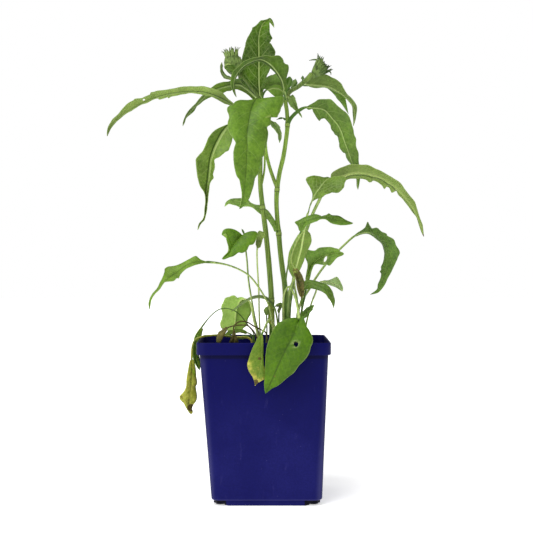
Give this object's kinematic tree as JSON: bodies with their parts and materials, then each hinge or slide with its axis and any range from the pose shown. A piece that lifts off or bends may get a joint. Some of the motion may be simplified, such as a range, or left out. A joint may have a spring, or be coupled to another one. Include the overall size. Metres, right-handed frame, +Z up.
{
  "type": "purple coneflower plant in a square nursery pot",
  "caption": "Young purple coneflower plant, two stems with green unopened buds and toothed lance-shaped leaves, growing in a square tapered blue plastic pot.",
  "frame": {"origin": "middle of the pot's foot, on the surface it stands on", "axes": "+Z up along the stems, -Y towards the front of the plant, +X to the right seen from the front"},
  "size_m": [0.2806, 0.1282, 0.4317],
  "materials": {
    "pot_plastic": "smooth moulded plastic, deep blue, faint sheen",
    "soil": "loose damp potting mix, rough",
    "stem": "ribbed green stem, slightly hairy",
    "bud": "overlapping green bracts, hairy",
    "leaf_green": "matt leaf with sunken veins",
    "leaf_dark": "matt dark green leaf",
    "leaf_underside": "paler underside with raised veins",
    "leaf_light": "thin young leaf, light green",
    "leaf_yellowing": "yellowing leaf with brown edges",
    "leaf_dry": "dry brown leaf"
  },
  "bodies": {
    "root": {"pot": "pot_plastic", "soil": "soil", "stem_left": "stem", "stem_right": "stem", "branch_centre": "stem", "branch_thin": "stem", "bud_left": "bud", "bud_right": "bud", "leaf_long_left": "leaf_underside", "leaf_back_left": "leaf_dark", "leaf_top_upright": "leaf_green", "leaf_arch_over": "leaf_dark", "leaf_front_big": "leaf_green", "leaf_left_hanging": "leaf_green", "leaf_right_upper": "leaf_green", "leaf_right_top": "leaf_green", "leaf_right_top_small": "leaf_dark", "leaf_junction_hanging": "leaf_dark", "leaf_centre_back": "leaf_green", "leaf_small_hanging": "leaf_green", "leaf_mid_left": "leaf_green", "leaf_folded_left": "leaf_green", "leaf_curled_left": "leaf_underside", "leaf_left_arch_lower": "leaf_green", "leaf_round_pale": "leaf_light", "leaf_over_left_rim": "leaf_green", "leaf_yellow_left": "leaf_yellowing", "leaf_front_yellowing": "leaf_yellowing", "leaf_front_hole": "leaf_green", "leaf_long_right": "leaf_underside", "leaf_right_folded": "leaf_green", "leaf_right_wavy": "leaf_green", "leaf_right_upright": "leaf_underside", "leaf_dry_brown": "leaf_dry", "leaf_right_lower": "leaf_green", "leaf_right_arch": "leaf_dark", "leaf_right_droop": "leaf_dark", "leaf_right_low_pale": "leaf_underside", "leaf_small_low": "leaf_dark", "leaf_narrow_arch": "leaf_dark", "leaf_small_dark": "leaf_dark", "leaf_curled_base": "leaf_dark", "leaf_base_sheath": "leaf_dry", "dead_leaf_shrivelled": "leaf_dry", "dead_leaf_mottled": "leaf_dry", "leaf_low_strip": "leaf_dark", "leaf_low_green": "leaf_green", "leaflet_junction_dark": "leaf_dark", "leaflet_junction_light": "leaf_green", "bract_left": "leaf_green", "bract_right": "leaf_dark"}
  },
  "joints": []
}
